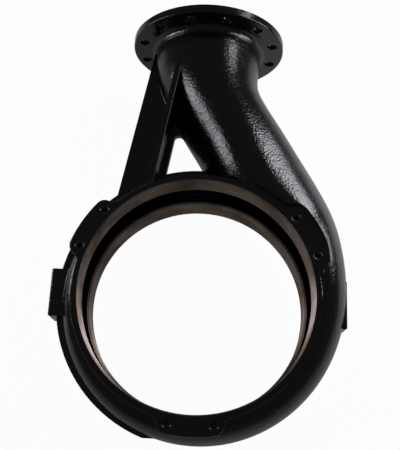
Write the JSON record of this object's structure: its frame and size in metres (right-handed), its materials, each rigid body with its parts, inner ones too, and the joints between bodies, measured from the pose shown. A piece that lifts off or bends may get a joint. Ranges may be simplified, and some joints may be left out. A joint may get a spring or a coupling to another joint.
{
  "type": "volute pump casing",
  "caption": "Cast-iron spiral casing of a waste-water pump: a wide machined ring with bolting pads, a swelling spiral, an S-bend neck with flange, and a webbed strut.",
  "frame": {"origin": "on the pump axis, in the plane of the suction-side face", "axes": "+Z along the pump axis from the suction side to the motor side, +Y towards the discharge flange, +X to the right seen from the motor side; the casing lies on its suction side"},
  "size_m": [0.6068, 0.8891, 0.34],
  "materials": {
    "casting": "glossy black paint over a rough casting, with the spigot bores machined bright"
  },
  "bodies": {
    "root": {"volute_casing": "casting"}
  },
  "joints": []
}
